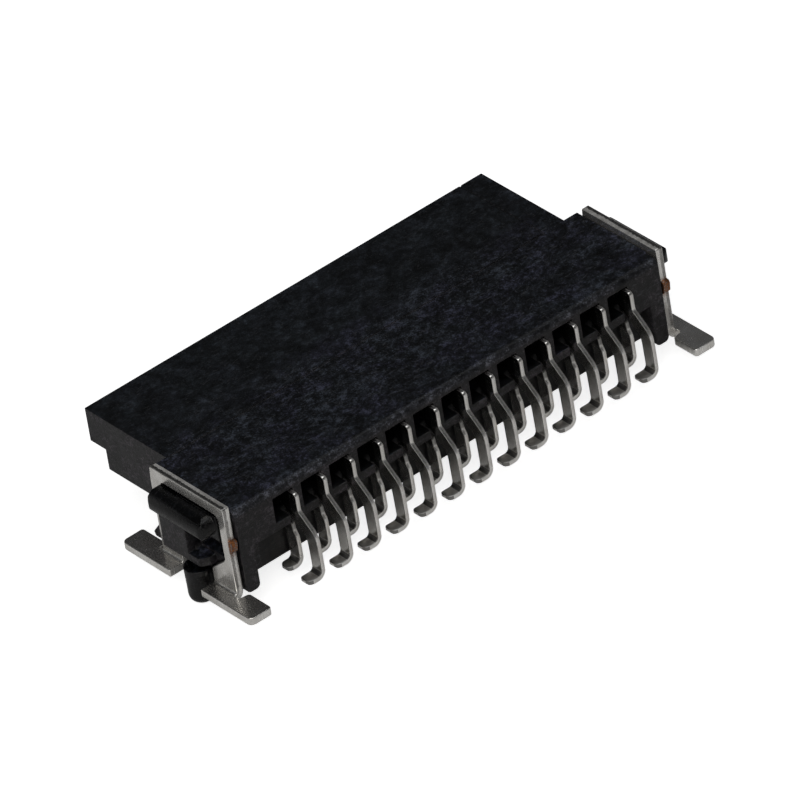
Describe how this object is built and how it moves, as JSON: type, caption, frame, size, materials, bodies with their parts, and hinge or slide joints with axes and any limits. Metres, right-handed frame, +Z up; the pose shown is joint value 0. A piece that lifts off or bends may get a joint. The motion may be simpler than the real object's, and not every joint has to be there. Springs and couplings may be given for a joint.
{
  "type": "pcb socket connector",
  "caption": "Right-angle surface-mount socket connector with two rows of gull-wing contacts, sheet-metal hold-downs and moulded locating pegs.",
  "frame": {"origin": "on the board plane, half-way between the two locating pegs; z = 0 is the underside of every solder foot", "axes": "+X along the row of contacts, +Y out of the mating face, +Z up from the board"},
  "size_m": [0.0214, 0.0104, 0.0046],
  "materials": {
    "housing_plastic": "matte black glass-filled moulding with fine light fibre flecks",
    "hold_down_tin": "satin tin plating on a copper-alloy stamping, bare copper at the broken-off carrier tabs",
    "contact_tin": "satin tin plating on a copper-alloy stamping"
  },
  "bodies": {
    "root": {"housing": "housing_plastic", "hold_down_left": "hold_down_tin", "hold_down_right": "hold_down_tin", "upper_contact_01": "contact_tin", "upper_contact_02": "contact_tin", "upper_contact_03": "contact_tin", "upper_contact_04": "contact_tin", "upper_contact_05": "contact_tin", "upper_contact_06": "contact_tin", "upper_contact_07": "contact_tin", "upper_contact_08": "contact_tin", "upper_contact_09": "contact_tin", "upper_contact_10": "contact_tin", "upper_contact_11": "contact_tin", "upper_contact_12": "contact_tin", "upper_contact_13": "contact_tin", "lower_contact_01": "contact_tin", "lower_contact_02": "contact_tin", "lower_contact_03": "contact_tin", "lower_contact_04": "contact_tin", "lower_contact_05": "contact_tin", "lower_contact_06": "contact_tin", "lower_contact_07": "contact_tin", "lower_contact_08": "contact_tin", "lower_contact_09": "contact_tin", "lower_contact_10": "contact_tin", "lower_contact_11": "contact_tin", "lower_contact_12": "contact_tin", "lower_contact_13": "contact_tin"}
  },
  "joints": []
}
